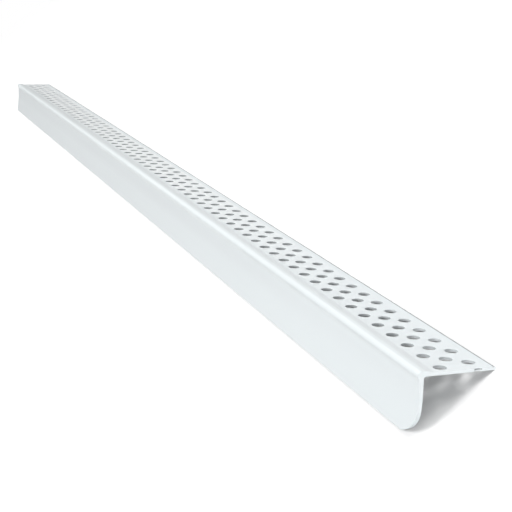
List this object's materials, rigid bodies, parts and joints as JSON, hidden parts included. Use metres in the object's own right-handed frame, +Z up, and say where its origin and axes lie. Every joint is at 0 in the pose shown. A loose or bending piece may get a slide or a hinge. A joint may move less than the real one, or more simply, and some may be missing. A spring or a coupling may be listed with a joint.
{
  "type": "z-shaped shadow gap profile",
  "caption": "Straight plastic shadow gap profile with a perforated fixing flange, a rounded bead and a web whose toe leans slightly forward.",
  "frame": {"origin": "centre of the bounding box's footprint, on the floor that the profile rests on", "axes": "+Y along the length, away from the end with the cut-open hole and the web's round corner; +X from the web's lower edge towards the flange's back edge; +Z up"},
  "size_m": [0.033, 0.72, 0.0167],
  "materials": {
    "white_pvc": "satin extruded white PVC"
  },
  "bodies": {
    "root": {"z_profile": "white_pvc"}
  },
  "joints": []
}
